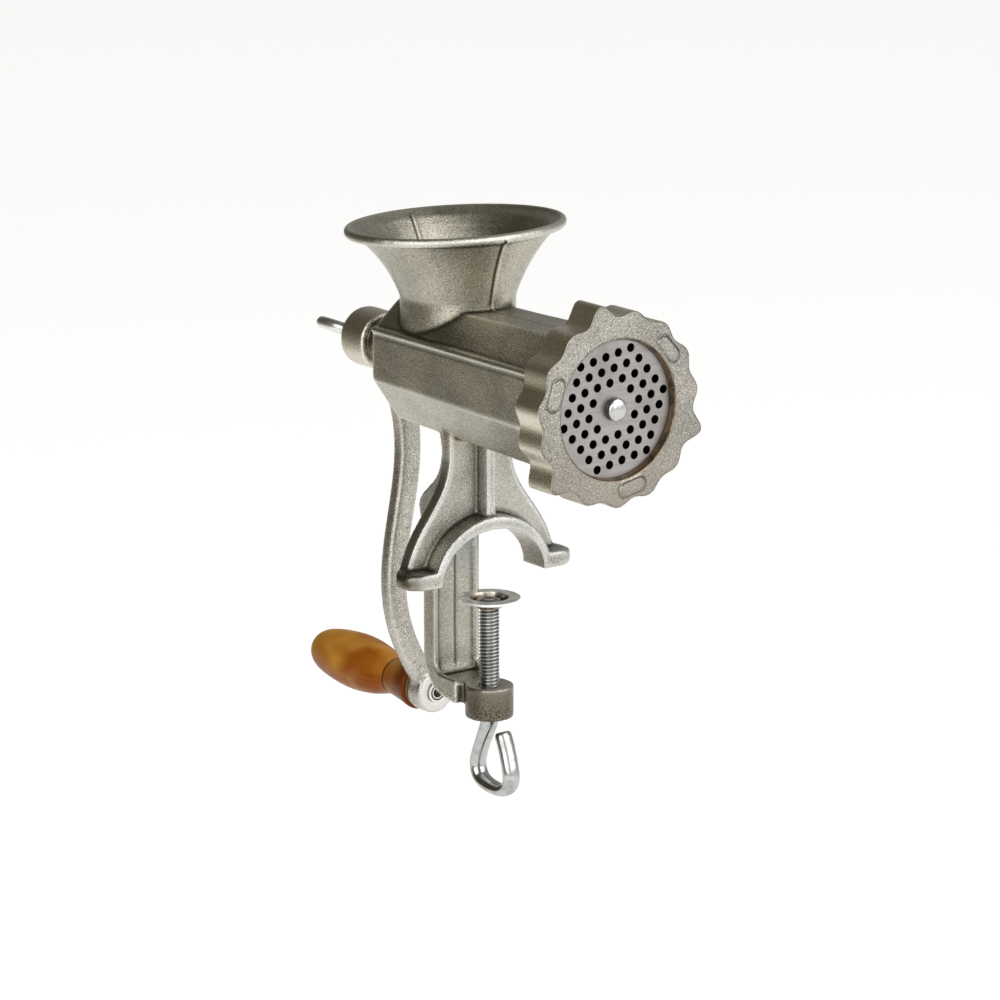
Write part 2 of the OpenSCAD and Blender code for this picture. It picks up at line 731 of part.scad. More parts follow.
module crank_screw() {
    bite = 3;
    reach = hub_len + bite;
    color("#c3c7ca") translate([0, hub_back_y + running, axis_z]) rotate([0, crank_loop_turn, 0])
        rotate([90, 0, 0]) {
            thread(0, reach);
            finger_loop(crank_loop, crank_strip_w);
        }
}

// Turned grip along +Y: flared collar, groove, waist, swell and round end
module grip() {
    bore = rivet_d / 2 + running;
    collar_len = 17;
    groove = 0.7;
    swell_at = grip_len * 0.6;
    waist_r = grip_waist_d / 2;
    swell_r = grip_d / 2;
    side = curve([[waist_r, collar_len + groove], [waist_r + groove, 1.24 * collar_len],
                  [0.9 * swell_r, 0.72 * swell_at], [swell_r, swell_at], [0.94 * swell_r, 0.77 * grip_len],
                  [0.81 * swell_r, 0.9 * grip_len], [0.68 * swell_r, 0.965 * grip_len], [rivet_d, grip_len]], 4);
    collar = curve([[0.94 * grip_collar_d / 2, 0], [grip_collar_d / 2, 0.07 * collar_len],
                    [(grip_collar_d / 2 + waist_r) / 2, 0.45 * collar_len], [waist_r, collar_len]], 3);
    color("#c8791f") on_crank() translate([0, grip_y, -crank_len]) rotate([-90, 0, 0])
        rotate_extrude($fn = round_fn)
            polygon(concat([[bore, 0]], collar, [[waist_r - groove, collar_len + groove / 2]], side,
                           [[rivet_d - 0.5, grip_len - rivet_sink], [bore, grip_len - rivet_sink]]));
}

module grip_rivet() {
    head_t = 1.6;
    head_r = rivet_d - 0.9;
    wall = 1;
    rim_h = 0.6;
    rim_r = rivet_d / 2 + 1.1;
    end_y = grip_y + grip_len - rivet_sink + face_gap;
    color("#8d8f90") on_crank() translate([0, 0, -crank_len]) difference() {
        union() {
            along_y(hub_y - rim_h, end_y, rivet_d / 2);
            along_y(hub_y - rim_h, hub_y, rim_r);
            along_y(end_y, end_y + head_t, head_r);
        }
        along_y(hub_y - cut, hub_y + grip_boss_len, rivet_d / 2 - wall);
    }
}

module grip_washer() {
    washer_front = hub_y + grip_boss_len;
    washer_r = grip_boss_r - 0.6;
    color("#6d4a2f") on_crank() translate([0, 0, -crank_len]) difference() {
        along_y(washer_front, washer_front + grip_washer_t, washer_r);
        along_y(washer_front - cut, washer_front + grip_washer_t + cut, rivet_d / 2);
    }
}

barrel();
hopper();
clamp_stand();
clamp_arm();
plate_key_pin();
ring_nut();
grinding_plate();
knife();
auger();
auger_stud();
thrust_washer();
crank_arm();
crank_screw();
grip();
grip_rivet();
grip_washer();
clamp_screw();
clamp_pad();
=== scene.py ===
"""Looks of the manual meat grinder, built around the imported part. Metres, in the part's own frame."""
import math

import bpy
import numpy as np
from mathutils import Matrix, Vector


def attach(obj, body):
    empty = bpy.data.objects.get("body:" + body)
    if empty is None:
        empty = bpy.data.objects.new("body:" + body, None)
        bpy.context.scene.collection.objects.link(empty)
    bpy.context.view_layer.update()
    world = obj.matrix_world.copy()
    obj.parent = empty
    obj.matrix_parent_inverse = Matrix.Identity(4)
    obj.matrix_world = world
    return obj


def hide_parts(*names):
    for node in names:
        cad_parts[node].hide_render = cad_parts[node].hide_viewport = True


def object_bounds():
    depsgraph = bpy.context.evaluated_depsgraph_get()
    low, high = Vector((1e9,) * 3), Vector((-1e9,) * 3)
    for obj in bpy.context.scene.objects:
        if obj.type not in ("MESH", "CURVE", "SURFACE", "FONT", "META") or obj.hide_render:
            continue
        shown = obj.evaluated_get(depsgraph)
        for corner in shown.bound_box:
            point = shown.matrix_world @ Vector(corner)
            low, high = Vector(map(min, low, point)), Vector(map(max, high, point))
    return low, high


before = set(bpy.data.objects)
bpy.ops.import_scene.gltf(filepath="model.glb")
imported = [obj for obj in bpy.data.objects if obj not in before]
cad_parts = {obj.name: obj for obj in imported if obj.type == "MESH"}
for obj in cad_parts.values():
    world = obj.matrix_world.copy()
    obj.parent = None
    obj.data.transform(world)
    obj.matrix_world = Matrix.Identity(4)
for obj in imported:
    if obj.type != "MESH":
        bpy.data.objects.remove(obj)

MM = 0.001
cad_box = [list(corner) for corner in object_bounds()]

# Sizes that the part's own source also uses, in millimetres
AXIS_Z = 81.0
BARREL_W = 48.0
BARREL_TAPER = 52.0 / BARREL_W
SIDE_FLAT_UP = 12.2
BEAD_ENDS_Y = (-67.1, 43.0)
SCREW_R = 3.97
SCREW_PITCH = 1.411
BOSS_BOTTOM = -56.1
PAD_TOP = -8.1
PAD_BOTTOM = -12.0
PAD_RECESS = 1.8
RECESS_R = 7.6
HUB_BACK_Y = 84.6
CRANK_SCREW_LEN = 18.3
CRANK_LEN = 150.2
CRANK_ANGLE = math.radians(9.2)
GRIP_X = CRANK_LEN * math.sin(CRANK_ANGLE)
GRIP_Z = AXIS_Z - CRANK_LEN * math.cos(CRANK_ANGLE)
GRIP_Y = 80.2
LOOP_REACH = 11.0
LOOP_SHIFT = 3.5
LOOP_RISE = 7
LOOP_TURN = math.radians(-68)
RUNNING = 0.05

# Name of the per-point measure, in millimetres, that is above nought in inner corners and below it on edges
HOLLOW = "hollow"


# Materials
class Graph:
    """Short calls for the shader nodes that the materials and the world share."""

    def __init__(self, tree, coordinate):
        self.nodes, self.links = tree.nodes, tree.links
        self.place = self.node("ShaderNodeTexCoord").outputs[coordinate]

    def node(self, kind, **values):
        made = self.nodes.new(kind)
        for key, value in values.items():
            setattr(made, key, value)
        return made

    def feed(self, socket, value):
        """Links another node's output to a socket, or sets its constant."""
        if hasattr(value, "is_linked"):
            self.links.new(value, socket)
        else:
            socket.default_value = value

    def math(self, operation, *values):
        made = self.node("ShaderNodeMath", operation=operation)
        for socket, value in zip(made.inputs, values):
            self.feed(socket, value)
        return made.outputs[0]

    def times(self, first, second):
        return self.math("MULTIPLY", first, second)

    def spread(self, value, low, high, to_low=0.0, to_high=1.0):
        """Smooth ramp of a value between two limits."""
        made = self.node("ShaderNodeMapRange", interpolation_type="SMOOTHSTEP")
        for key, number in (("Value", value), ("From Min", low), ("From Max", high),
                            ("To Min", to_low), ("To Max", to_high)):
            self.feed(made.inputs[key], number)
        return made.outputs["Result"]

    def band(self, value, low, high, soft):
        """One inside the limits, falling to nought over a soft edge."""
        return self.times(self.spread(value, low - soft, low), self.spread(value, high, high + soft, 1.0, 0.0))

    def mix(self, share, first, second, blend="MIX"):
        made = self.node("ShaderNodeMix", data_type="RGBA", blend_type=blend)
        self.feed(made.inputs[0], share)
        for socket, value in ((made.inputs[6], first), (made.inputs[7], second)):
            self.feed(socket, value if hasattr(value, "is_linked") else (*value, 1.0))
        return made.outputs[2]

    def axes(self):
        made = self.node("ShaderNodeSeparateXYZ")
        self.feed(made.inputs[0], self.place)
        return made.outputs

    def from_line(self, a, b, middle_a=0.0, middle_b=0.0):
        """Distance from a line along the third axis."""
        squares = [self.math("POWER", self.math("SUBTRACT", v, m), 2.0)
                   for v, m in ((a, middle_a), (b, middle_b))]
        return self.math("SQRT", self.math("ADD", *squares))


class Shader(Graph):
    """A node material around one Principled shader."""

    def __init__(self, name):
        self.material = bpy.data.materials.new(name)
        self.material.use_nodes = True
        super().__init__(self.material.node_tree, "Object")
        self.bsdf = next(n for n in self.nodes if n.type == "BSDF_PRINCIPLED")

    def noise(self, scale, detail=2.0, stretch=(1, 1, 1), shift=(0, 0, 0), roughness=0.5):
        mapping = self.node("ShaderNodeMapping")
        self.feed(mapping.inputs["Vector"], self.place)
        mapping.inputs["Scale"].default_value = stretch
        mapping.inputs["Location"].default_value = shift
        made = self.node("ShaderNodeTexNoise")
        self.feed(made.inputs["Vector"], mapping.outputs["Vector"])
        made.inputs["Scale"].default_value = scale
        made.inputs["Detail"].default_value = detail
        made.inputs["Roughness"].default_value = roughness
        return made.outputs["Fac"]

    def facing(self):
        """Y part of the surface's direction."""
        made = self.node("ShaderNodeSeparateXYZ")
        self.feed(made.inputs[0], self.node("ShaderNodeNewGeometry").outputs["Normal"])
        return made.outputs[1]

    def bump(self, height, strength, distance, normal=None):
        made = self.node("ShaderNodeBump")
        made.inputs["Strength"].default_value = strength
        made.inputs["Distance"].default_value = distance
        self.feed(made.inputs["Height"], height)
        if normal is not None:
            self.feed(made.inputs["Normal"], normal)
        return made.outputs["Normal"]

    def finish(self, **values):
        """Feeds the Principled shader's sockets, with _ for a space in their names."""
        for key, value in values.items():
            self.feed(self.bsdf.inputs[key.replace("_", " ")], value)
        return self.material


def shaded(colour, share):
    return tuple(share * c for c in colour)


# Casting: scales of its noises, and the most that each layer covers
CLOUD_SCALE, WAVE_SCALE, PIT_SCALE, GRAIN_SCALE, SPARKLE_SCALE = 55, 70, 800, 1150, 2000
GRAIN_SHARE, PIT_SHARE, SPARKLE_SHARE, DIRT_AND_SHADE_SHARE, EDGE_SHARE = 0.62, 0.6, 0.7, 0.72, 0.32
DIRT_AND_SHADE_START = 0.15
EDGE_RANGE = (-0.04, -0.25)
CAST_ROUGHNESS = (0.31, 0.18)
CAST_METALLIC = 0.97
SPARKLE = (0.90, 0.89, 0.86)
# Edge colour of the casting: worn tin with a painted highlight
WORN_TIN_AND_HIGHLIGHT = (0.84, 0.82, 0.77)


def cast_metal(name, light, dark, stains_and_painted_light, grain=1.0, corner=0.26, edge_colour=WORN_TIN_AND_HIGHLIGHT):
    """Tinned sand casting: grainy warm grey with dark pits, edges in their own colour (by default bright worn
    tin with a painted highlight), and dirt with painted shade in the inner corners.

    grain scales the speckle, and corner is the hollow that is darkest."""
    s = Shader(name)
    fine = s.noise(GRAIN_SCALE, 4, roughness=0.75)
    pits = s.noise(PIT_SCALE, shift=(7, 3, 5))
    sparkle = s.noise(SPARKLE_SCALE, shift=(2, 9, 4))
    hollow = s.node("ShaderNodeAttribute", attribute_name=HOLLOW).outputs["Fac"]
    colour = s.mix(s.spread(s.noise(CLOUD_SCALE, 3), 0.35, 0.68), light, shaded(light, 0.76))
    colour = s.mix(s.spread(fine, 0.53, 0.36, 0.0, GRAIN_SHARE * grain), colour, dark)
    colour = s.mix(s.spread(pits, 0.40, 0.30, 0.0, PIT_SHARE * grain), colour, shaded(dark, 0.6))
    colour = s.mix(s.spread(sparkle, 0.55, 0.70, 0.0, SPARKLE_SHARE * grain), colour, SPARKLE)
    # Dirt with painted shade: the deeper the hollow, the darker the inner corner
    colour = s.mix(s.spread(hollow, DIRT_AND_SHADE_START * corner, corner, 0.0, DIRT_AND_SHADE_SHARE), colour, shaded(dark, 0.4))
    # Edges take their own colour: on the casting, bright worn tin with a painted highlight
    colour = s.mix(s.spread(hollow, *EDGE_RANGE, 0.0, EDGE_SHARE), colour, edge_colour)
    colour = stains_and_painted_light(s, colour)
    waves = s.bump(s.noise(WAVE_SCALE, shift=(3, 1, 8)), 0.22, 0.002)
    return s.finish(Base_Color=colour, Metallic=CAST_METALLIC, Normal=s.bump(fine, 0.4, 0.0005, waves),
                    Roughness=s.spread(fine, 0.3, 0.7, *CAST_ROUGHNESS))


# Stains and painted shade on the body: limits in metres, from clean to darkened where two values are a ramp
BEARING_Y, BEARING_SOFT = (0.047, 0.072), 0.004
BEARING_R = (0.0135, 0.0115)
BEARING_RUST_AND_SHADE = (0.085, 0.048, 0.02)
BOSS_Z, BOSS_R = (-0.042, -0.0445), (0.0125, 0.0102)
BOSS_GRIME, BOSS_SHARE = (0.085, 0.068, 0.043), 0.78
SPECKS_Z = (-0.043, -0.054)
SPECK_BROWN, SPECK_SHARE = (0.036, 0.024, 0.011), 0.9
PANEL_Z, PANEL_Y = (-0.040, 0.016), (0.0215, 0.0235)
PANEL_SHADE_GREY, PANEL_SHADE_SHARE = (0.22, 0.225, 0.215), 0.3
SPINE_LINE_X = (0.0007, 0.0003)
SPINE_LINE_SHADE, SPINE_LINE_SHADE_SHARE = (0.07, 0.06, 0.045), 0.75
WEB_Z, WEB_SOFT = (0.004, 0.044), 0.012
WEB_COOL = (0.97, 1.0, 1.07)
HOPPER_LINE_X, HOPPER_LINE_Z = (-0.0013, -0.0008), (0.104, 0.1335)
HOPPER_LINE_SHADE = (0.10, 0.085, 0.06)
TOE_STAIN_X, TOE_STAIN_Z = (-0.030, -0.040), (0.014, 0.010)
TOE_BROWN = (0.10, 0.08, 0.045)


def body_stains_and_shade(s, colour):
    """Rust with painted shade on the bearing, grime on the screw boss, painted shade on the spine's front panel,
    in the spine's seam groove and beside the hopper's seam, and a brown left toe.
    """
    x, y, z = s.axes()
    patchy = s.spread(s.noise(260, 3, shift=(1, 4, 2)), 0.32, 0.6, 0.35, 0.95)
    # Rust with painted shade on the bearing behind the barrel
    bearing = s.times(s.band(y, *BEARING_Y, BEARING_SOFT),
                      s.spread(s.from_line(x, z, 0.0, AXIS_Z * MM), *BEARING_R))
    colour = s.mix(s.times(bearing, patchy), colour, BEARING_RUST_AND_SHADE)
    boss = s.times(s.spread(z, *BOSS_Z), s.spread(s.from_line(x, y), *BOSS_R))
    colour = s.mix(s.times(boss, BOSS_SHARE), colour, BOSS_GRIME)
    specks = s.spread(s.noise(1700, 3), 0.47, 0.58, 0.0, SPECK_SHARE)
    colour = s.mix(s.times(s.spread(z, *SPECKS_Z), specks), colour, SPECK_BROWN)
    # Painted shade: the spine's front panel is darker, standing for a dim reflection
    panel = s.times(s.band(z, *PANEL_Z, 0.002), s.band(y, *PANEL_Y, 0.0005))
    colour = s.mix(s.times(panel, PANEL_SHADE_SHARE), colour, PANEL_SHADE_GREY)
    # Painted shade in the groove down the middle of the spine's front
    spine_line_shade = s.times(s.spread(s.math("ABSOLUTE", x), *SPINE_LINE_X), panel)
    colour = s.mix(s.times(spine_line_shade, SPINE_LINE_SHADE_SHARE), colour, SPINE_LINE_SHADE)
    colour = s.mix(s.band(z, *WEB_Z, WEB_SOFT), colour, WEB_COOL, "MULTIPLY")
    # Painted shadow along the left side of the hopper's raised seam
    hopper_line_shade = s.times(s.band(x, *HOPPER_LINE_X, 0.0004), s.band(z, *HOPPER_LINE_Z, 0.001))
    colour = s.mix(hopper_line_shade, colour, HOPPER_LINE_SHADE)
    toe = s.times(s.spread(x, *TOE_STAIN_X), s.spread(z, *TOE_STAIN_Z))
    return s.mix(s.times(toe, s.spread(patchy, 0.35, 0.95, 0.65, 1.0)), colour, TOE_BROWN)


LOBE_R = (0.029, 0.031)
LOBE_PAINTED_REFLECTION = (0.66, 0.61, 0.50)
RING_LOW_Z, RING_LOW_SHADE_SHARE = (0.080, 0.045), 0.4
RING_LOW_SHADE = (0.22, 0.19, 0.14)
LIP_R, LIP_SHARE = (0.0271, 0.0266), 0.85
LIP_BROWN, LIP_SHADE_BLACK = (0.24, 0.155, 0.09), (0.07, 0.05, 0.03)


def ring_grease_and_painted_light(s, colour):
    """Lobe sides painted brighter as a reflection, painted shade on the low half, and brown grease with painted
    shade inside the lip.
    """
    x, y, z = s.axes()
    edge = s.spread(s.math("ABSOLUTE", s.facing()), 0.75, 0.3)
    away = s.from_line(x, z, 0.0, AXIS_Z * MM)
    # Painted reflection: the sides of the lobes are brighter
    colour = s.mix(s.times(edge, s.spread(away, *LOBE_R)), colour, LOBE_PAINTED_REFLECTION)
    # Painted shade: the low half of the ring is darker
    colour = s.mix(s.spread(z, *RING_LOW_Z, 0.0, RING_LOW_SHADE_SHARE), colour, RING_LOW_SHADE)
    # Brown grease with painted shade on the inner wall of the lip
    grease_and_shade = s.mix(s.spread(s.noise(170), 0.42, 0.62), LIP_BROWN, LIP_SHADE_BLACK)
    return s.mix(s.times(s.spread(away, *LIP_R), LIP_SHARE), colour, grease_and_shade)


HUB_R, HUB_Y, HUB_SHARE = (0.016, 0.013), (0.062, 0.068), 0.6
HUB_PAINTED_LIGHT = (0.80, 0.74, 0.61)
FACE_R, FACE_SHARE = (0.0086, 0.0080), 0.8
FACE_FORWARD = (-0.85, -0.95)
MACHINED = (0.66, 0.645, 0.615)


def crank_face_and_painted_light(s, colour):
    """Painted light brightens the hub, and the grip's boss has a machined face."""
    x, y, z = s.axes()
    # Painted light: the hub is brighter
    hub = s.times(s.spread(s.from_line(x, z, 0.0, AXIS_Z * MM), *HUB_R), s.spread(y, *HUB_Y))
    colour = s.mix(s.times(hub, HUB_SHARE), colour, HUB_PAINTED_LIGHT)
    face = s.times(s.spread(s.from_line(x, z, GRIP_X * MM, GRIP_Z * MM), *FACE_R),
                   s.spread(s.facing(), *FACE_FORWARD))
    return s.mix(s.times(face, FACE_SHARE), colour, MACHINED)


PLATE_DARK, PLATE_LIGHT = (0.295, 0.28, 0.27), (0.345, 0.33, 0.315)
PLATE_CLOUD = (0.25, 0.228, 0.212)
BORE_SHADE_BLACK = (0.012, 0.011, 0.010)


def ground_steel(name):
    """Plate steel with fine scratches across the face, and bores painted black as shade."""
    s = Shader(name)
    scratch = s.noise(900, stretch=(0.035, 1, 1))
    colour = s.mix(s.spread(scratch, 0.35, 0.68), PLATE_DARK, PLATE_LIGHT)
    colour = s.mix(s.spread(s.noise(90), 0.45, 0.68, 0.0, 0.7), colour, PLATE_CLOUD)
    # Painted shade: the walls of the bores are black
    bore_shade = s.spread(s.math("ABSOLUTE", s.facing()), 0.6, 0.3)
    colour = s.mix(bore_shade, colour, BORE_SHADE_BLACK)
    return s.finish(Base_Color=colour, Metallic=0.9, Roughness=s.spread(scratch, 0.3, 0.7, 0.44, 0.30),
                    Normal=s.bump(scratch, 0.25, 0.0002))


# Near black for oil in the thread, the rivet's dark ring and the stud's painted shade
OIL_AND_SHADE_BLACK = (0.045, 0.04, 0.03)


def bright_metal(name, colour, dull, rough_low, rough_high, darkening=None):
    """Plated steel: bright, with faint cloudy dulling and fine marks."""
    s = Shader(name)
    cloud = s.noise(240, 3)
    marks = s.noise(1500, stretch=(1, 1, 0.25))
    shade = s.mix(s.spread(cloud, 0.45, 0.72, 0.0, 0.5), colour, dull)
    # A darkening mask, when given, blends in near black: oil in the thread roots, a dark ring on the rivet,
    # painted shade on the stud's side
    if darkening:
        shade = s.mix(darkening(s), shade, OIL_AND_SHADE_BLACK)
    rough = s.spread(s.math("ADD", cloud, s.times(marks, 0.4)), 0.5, 0.9, rough_low, rough_high)
    return s.finish(Base_Color=shade, Metallic=1.0, Roughness=rough, Normal=s.bump(marks, 0.12, 0.0002))


def stud_side_shade(s):
    """Painted shade, near black, round the side of the stud."""
    # Painted shade on the side of the stud
    return s.spread(s.math("ABSOLUTE", s.facing()), 0.75, 0.35, 0.0, 0.85)


RIVET_RING_R, RIVET_RING_SOFT = (0.0028, 0.0032), 0.0003


def rivet_dark_ring(s):
    """A black ring in the rolled rim of the rivet."""
    x, y, z = s.axes()
    return s.band(s.from_line(x, z, GRIP_X * MM, GRIP_Z * MM), *RIVET_RING_R, RIVET_RING_SOFT)


THREAD_OIL_R = (SCREW_R * MM * 0.94, SCREW_R * MM * 0.83)
THREAD_OIL_Z = ((BOSS_BOTTOM - 1.5) * MM, BOSS_BOTTOM * MM)


def thread_grime(s):
    """Dark oil in the roots of the clamp screw's thread."""
    x, y, z = s.axes()
    return s.times(s.spread(s.from_line(x, y), *THREAD_OIL_R, 0.0, 0.75), s.spread(z, *THREAD_OIL_Z))


PAD_STAIN_R = ((RECESS_R + 0.3) * MM, (RECESS_R - 0.4) * MM)
PAD_BRIGHT, PAD_DULL = (0.86, 0.86, 0.83), (0.66, 0.66, 0.63)
PAD_BROWN = (0.15, 0.105, 0.055)


def pad_metal(name):
    """Plated pad whose recess is stained brown."""
    s = Shader(name)
    x, y, z = s.axes()
    stain = s.times(s.spread(s.from_line(x, y), *PAD_STAIN_R),
                    s.spread(s.noise(380, 3), 0.3, 0.6, 0.7, 1.0))
    cloud = s.noise(300, 3)
    shade = s.mix(stain, s.mix(s.spread(cloud, 0.4, 0.7), PAD_BRIGHT, PAD_DULL), PAD_BROWN)
    return s.finish(Base_Color=shade, Metallic=0.95, Roughness=s.spread(cloud, 0.35, 0.7, 0.2, 0.38),
                    Normal=s.bump(cloud, 0.2, 0.0003))


AMBER, AMBER_DARK, AMBER_PALE = (0.92, 0.45, 0.06), (0.36, 0.078, 0.001), (0.95, 0.66, 0.28)
WOOD_GRAIN, WOOD_PORE = (0.60, 0.29, 0.05), (0.20, 0.06, 0.004)
COLLAR_RED, GROOVE_BROWN = (0.17, 0.026, 0.001), (0.09, 0.03, 0.006)
COLLAR_Y = ((GRIP_Y + 19) * MM, (GRIP_Y + 3) * MM)
GROOVE_Y = ((GRIP_Y + 16.9) * MM, (GRIP_Y + 17.8) * MM)


def varnished_wood(name):
    """Turned wood under amber varnish: grain along the grip, darker and redder at the collar."""
    s = Shader(name)
    x, y, z = s.axes()
    grain = s.noise(420, 4, stretch=(1, 0.05, 1), roughness=0.6)
    pores = s.noise(1500, stretch=(1, 0.04, 1), shift=(4, 0, 2))
    cloud = s.noise(38, stretch=(1, 0.6, 1), shift=(5, 2, 1))
    pale = s.noise(62, 1, shift=(2, 6, 3))
    colour = s.mix(s.spread(cloud, 0.36, 0.64), AMBER, AMBER_DARK)
    colour = s.mix(s.spread(pale, 0.5, 0.75, 0.0, 0.3), colour, AMBER_PALE)
    colour = s.mix(s.spread(grain, 0.36, 0.66, 0.0, 0.2), colour, WOOD_GRAIN)
    colour = s.mix(s.spread(pores, 0.42, 0.30, 0.0, 0.2), colour, WOOD_PORE)
    colour = s.mix(s.spread(y, *COLLAR_Y, 0.0, 0.9), colour, COLLAR_RED)
    colour = s.mix(s.times(s.band(y, *GROOVE_Y, 0.0003), 0.8), colour, GROOVE_BROWN)
    return s.finish(Base_Color=colour, Roughness=s.spread(grain, 0.3, 0.7, 0.42, 0.3), Coat_Weight=0.08,
                    Coat_Roughness=0.2, Specular_IOR_Level=0.06, Normal=s.bump(grain, 0.12, 0.0003))


FIBRE_DARK, FIBRE_LIGHT = (0.20, 0.11, 0.06), (0.34, 0.21, 0.12)


def pressed_fibre(name):
    """Brown washer board."""
    s = Shader(name)
    fibres = s.noise(1400, 3)
    colour = s.mix(s.spread(fibres, 0.35, 0.65), FIBRE_DARK, FIBRE_LIGHT)
    return s.finish(Base_Color=colour, Roughness=0.8, Normal=s.bump(fibres, 0.3, 0.0003))


CASTING = cast_metal("tinned_casting", (0.425, 0.40, 0.325), (0.132, 0.115, 0.078), body_stains_and_shade, grain=0.62)
# The ring's edges take a dark brown in place of bright tin
RING = cast_metal("tinned_ring", (0.345, 0.326, 0.287), (0.112, 0.098, 0.073), ring_grease_and_painted_light,
                  corner=0.15, edge_colour=(0.06, 0.048, 0.03))
CRANK = cast_metal("tinned_crank", (0.41, 0.385, 0.332), (0.132, 0.117, 0.086), crank_face_and_painted_light)
PLATE = ground_steel("plate_steel")
STEEL = bright_metal("bright_steel", (0.78, 0.78, 0.77), (0.55, 0.55, 0.54), 0.14, 0.3)
STUD = bright_metal("stud_steel", (0.50, 0.50, 0.49), (0.24, 0.24, 0.23), 0.12, 0.3, stud_side_shade)
ZINC = bright_metal("zinc_plate", (0.72, 0.72, 0.71), (0.42, 0.42, 0.41), 0.22, 0.4)
THREAD = bright_metal("zinc_thread", (0.46, 0.46, 0.45), (0.21, 0.21, 0.20), 0.08, 0.22, thread_grime)
RIVET = bright_metal("rivet_steel", MACHINED, (0.50, 0.485, 0.46), 0.3, 0.5, rivet_dark_ring)
PAD = pad_metal("pad_zinc")
WOOD = varnished_wood("varnished_wood")
FIBRE = pressed_fibre("pressed_fibre")


# Shapes
def new_piece(name, mesh, material, body, slot, *nodes):
    """A smooth mesh that rides on a body and stands for CAD nodes."""
    mesh.polygons.foreach_set("use_smooth", [True] * len(mesh.polygons))
    mesh.materials.clear()
    mesh.materials.append(material)
    piece = bpy.data.objects.new(name, mesh)
    bpy.context.scene.collection.objects.link(piece)
    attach(piece, body)
    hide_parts(*nodes)
    return piece


def mesh_of(name, points, faces):
    mesh = bpy.data.meshes.new(name)
    mesh.from_pydata([tuple(p) for p in points], [], faces)
    mesh.update()
    return mesh


def per_point(mesh, field="co"):
    """Places or normals of a mesh's points, one row each."""
    flat = np.empty(len(mesh.vertices) * 3)
    mesh.vertices.foreach_get(field, flat)
    return flat.reshape(-1, 3)


def soften(mesh, passes, where=None):
    """Rounds a mesh by moving each point half way to the middle of its neighbours, several times."""
    spots = per_point(mesh)
    share = 0.5 if where is None else 0.5 * where(spots)[:, None]
    ends = np.empty(len(mesh.edges) * 2, np.int64)
    mesh.edges.foreach_get("vertices", ends)
    a, b = ends.reshape(-1, 2).T
    count = np.bincount(ends, minlength=len(spots))[:, None]
    for _ in range(passes):
        total = np.stack([np.bincount(a, spots[b, k], len(spots)) + np.bincount(b, spots[a, k], len(spots))
                          for k in range(3)], axis=1)
        spots = spots + share * (total / count - spots)
    mesh.vertices.foreach_set("co", spots.ravel())
    mesh.update()


def recast(name, nodes, voxel, passes):
    """One skin over the solids of some CAD nodes, with the soft edges of a sand casting."""
    points, faces = [], []
    for node in nodes:
        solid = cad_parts[node].data
        start = len(points)
        points += [tuple(v.co) for v in solid.vertices]
        faces += [[start + i for i in p.vertices] for p in solid.polygons]
    holder = bpy.data.objects.new(name, mesh_of(name, points, faces))
    bpy.context.scene.collection.objects.link(holder)
    skin = holder.modifiers.new("skin", "REMESH")
    skin.mode = "VOXEL"
    skin.voxel_size = voxel
    mesh = bpy.data.meshes.new_from_object(holder.evaluated_get(bpy.context.evaluated_depsgraph_get()))
    bpy.data.objects.remove(holder)
    mesh.name = name
    soften(mesh, passes)
    return mesh


def mark_hollows(mesh, passes=24):
    """Notes for each point, in millimetres, how far outside it a softer skin would lie."""
    softer = mesh.copy()
    soften(softer, passes)
    rise = ((per_point(softer) - per_point(mesh)) * per_point(mesh, "normal")).sum(axis=1) / MM
    bpy.data.meshes.remove(softer)
    mesh.attributes.new(HOLLOW, "FLOAT", "POINT").data.foreach_set("value", rise)


# Mould seams: hopper and spine in metres, the barrel's beads in millimetres
SEAM_HALF_W = 0.0013
HOPPER_SEAM_Z, HOPPER_SEAM_H = (0.104, 0.1345), 0.00045
HOPPER_SEAM_FACING = 0.2
SPINE_SEAM_Z, SPINE_SEAM_DEPTH = (-0.040, 0.02), 0.00035
SPINE_FRONT_Y, SPINE_FACING = 0.019, -0.8
BEAD_H, BEAD_R = 0.24, 1.4
GROOVE_DEPTH, GROOVE_OFF, GROOVE_R = 0.2, 2.3, 0.9


def parting_lines(mesh):
    """A seam up the hopper, a fine groove down the spine and a bead along each side of the barrel."""
    spots, normals = per_point(mesh), per_point(mesh, "normal")
    x, y, z = spots.T
    near = np.clip(1 - np.abs(x) / SEAM_HALF_W, 0, 1)[:, None]
    hopper = (z > HOPPER_SEAM_Z[0]) & (z < HOPPER_SEAM_Z[1]) & (np.abs(normals[:, 1]) > HOPPER_SEAM_FACING)
    spine = ((z > SPINE_SEAM_Z[0]) & (z < SPINE_SEAM_Z[1])
             & (normals[:, 1] < SPINE_FACING) & (y > SPINE_FRONT_Y))
    spots = spots + normals * near * (HOPPER_SEAM_H * hopper - SPINE_SEAM_DEPTH * spine)[:, None]
    x, y, z = np.abs(spots[:, 0]) / MM, spots[:, 1] / MM, spots[:, 2] / MM - AXIS_Z
    size = np.interp(y, BEAD_ENDS_Y, (BARREL_TAPER, 1.0))
    off = np.hypot(x - BARREL_W / 2 * size, z - SIDE_FLAT_UP * size)
    bead = (BEAD_H * np.clip(1 - off / BEAD_R, 0, 1)
            - GROOVE_DEPTH * np.clip(1 - np.abs(off - GROOVE_OFF) / GROOVE_R, 0, 1))
    bead *= (y > BEAD_ENDS_Y[0]) & (y < BEAD_ENDS_Y[1])
    spots = spots + normals * bead[:, None] * MM
    mesh.vertices.foreach_set("co", spots.ravel())
    mesh.update()


TOE_X, TOE_SOFT = 0.032, 0.004
TOE_Y, TOE_Z = 0.013, (-0.002, 0.012)


